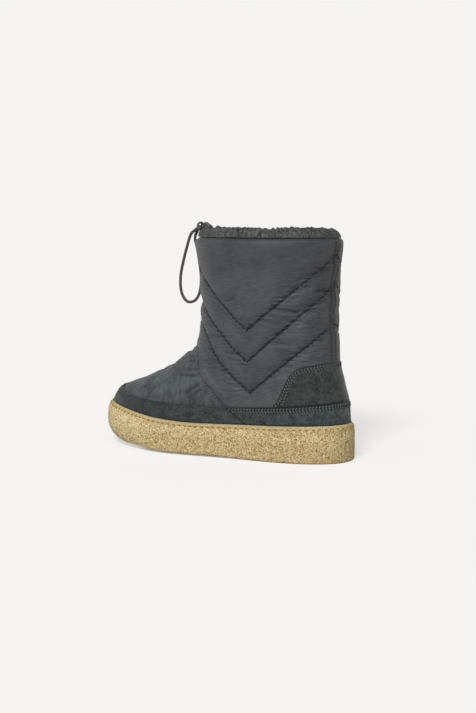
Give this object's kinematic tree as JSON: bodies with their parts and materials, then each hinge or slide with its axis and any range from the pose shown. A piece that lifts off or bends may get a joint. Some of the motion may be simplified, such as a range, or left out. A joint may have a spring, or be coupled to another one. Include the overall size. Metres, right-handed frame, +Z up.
{
  "type": "winter boot",
  "caption": "Ankle-high pull-on winter boot with a quilted padded upper, suede rand and heel counter, gathered drawcord collar and a thick crepe cup sole.",
  "frame": {"origin": "on the ground under the middle of the boot's box", "axes": "toe along -X, heel along +X, outer side of a left boot along -Y, up along +Z"},
  "size_m": [0.2797, 0.1148, 0.2262],
  "materials": {
    "crepe": "matte, crumbled",
    "nylon": "soft sheen",
    "suede": "napped",
    "casing": "soft sheen",
    "lock": "gloss",
    "cord": "braided",
    "footbed": "felt"
  },
  "bodies": {
    "root": {"sole": "crepe", "upper": "nylon", "insole": "footbed", "rand": "suede", "heel_counter": "suede", "collar_casing": "casing", "cord_lock": "lock", "drawcord_loop": "cord"}
  },
  "joints": []
}
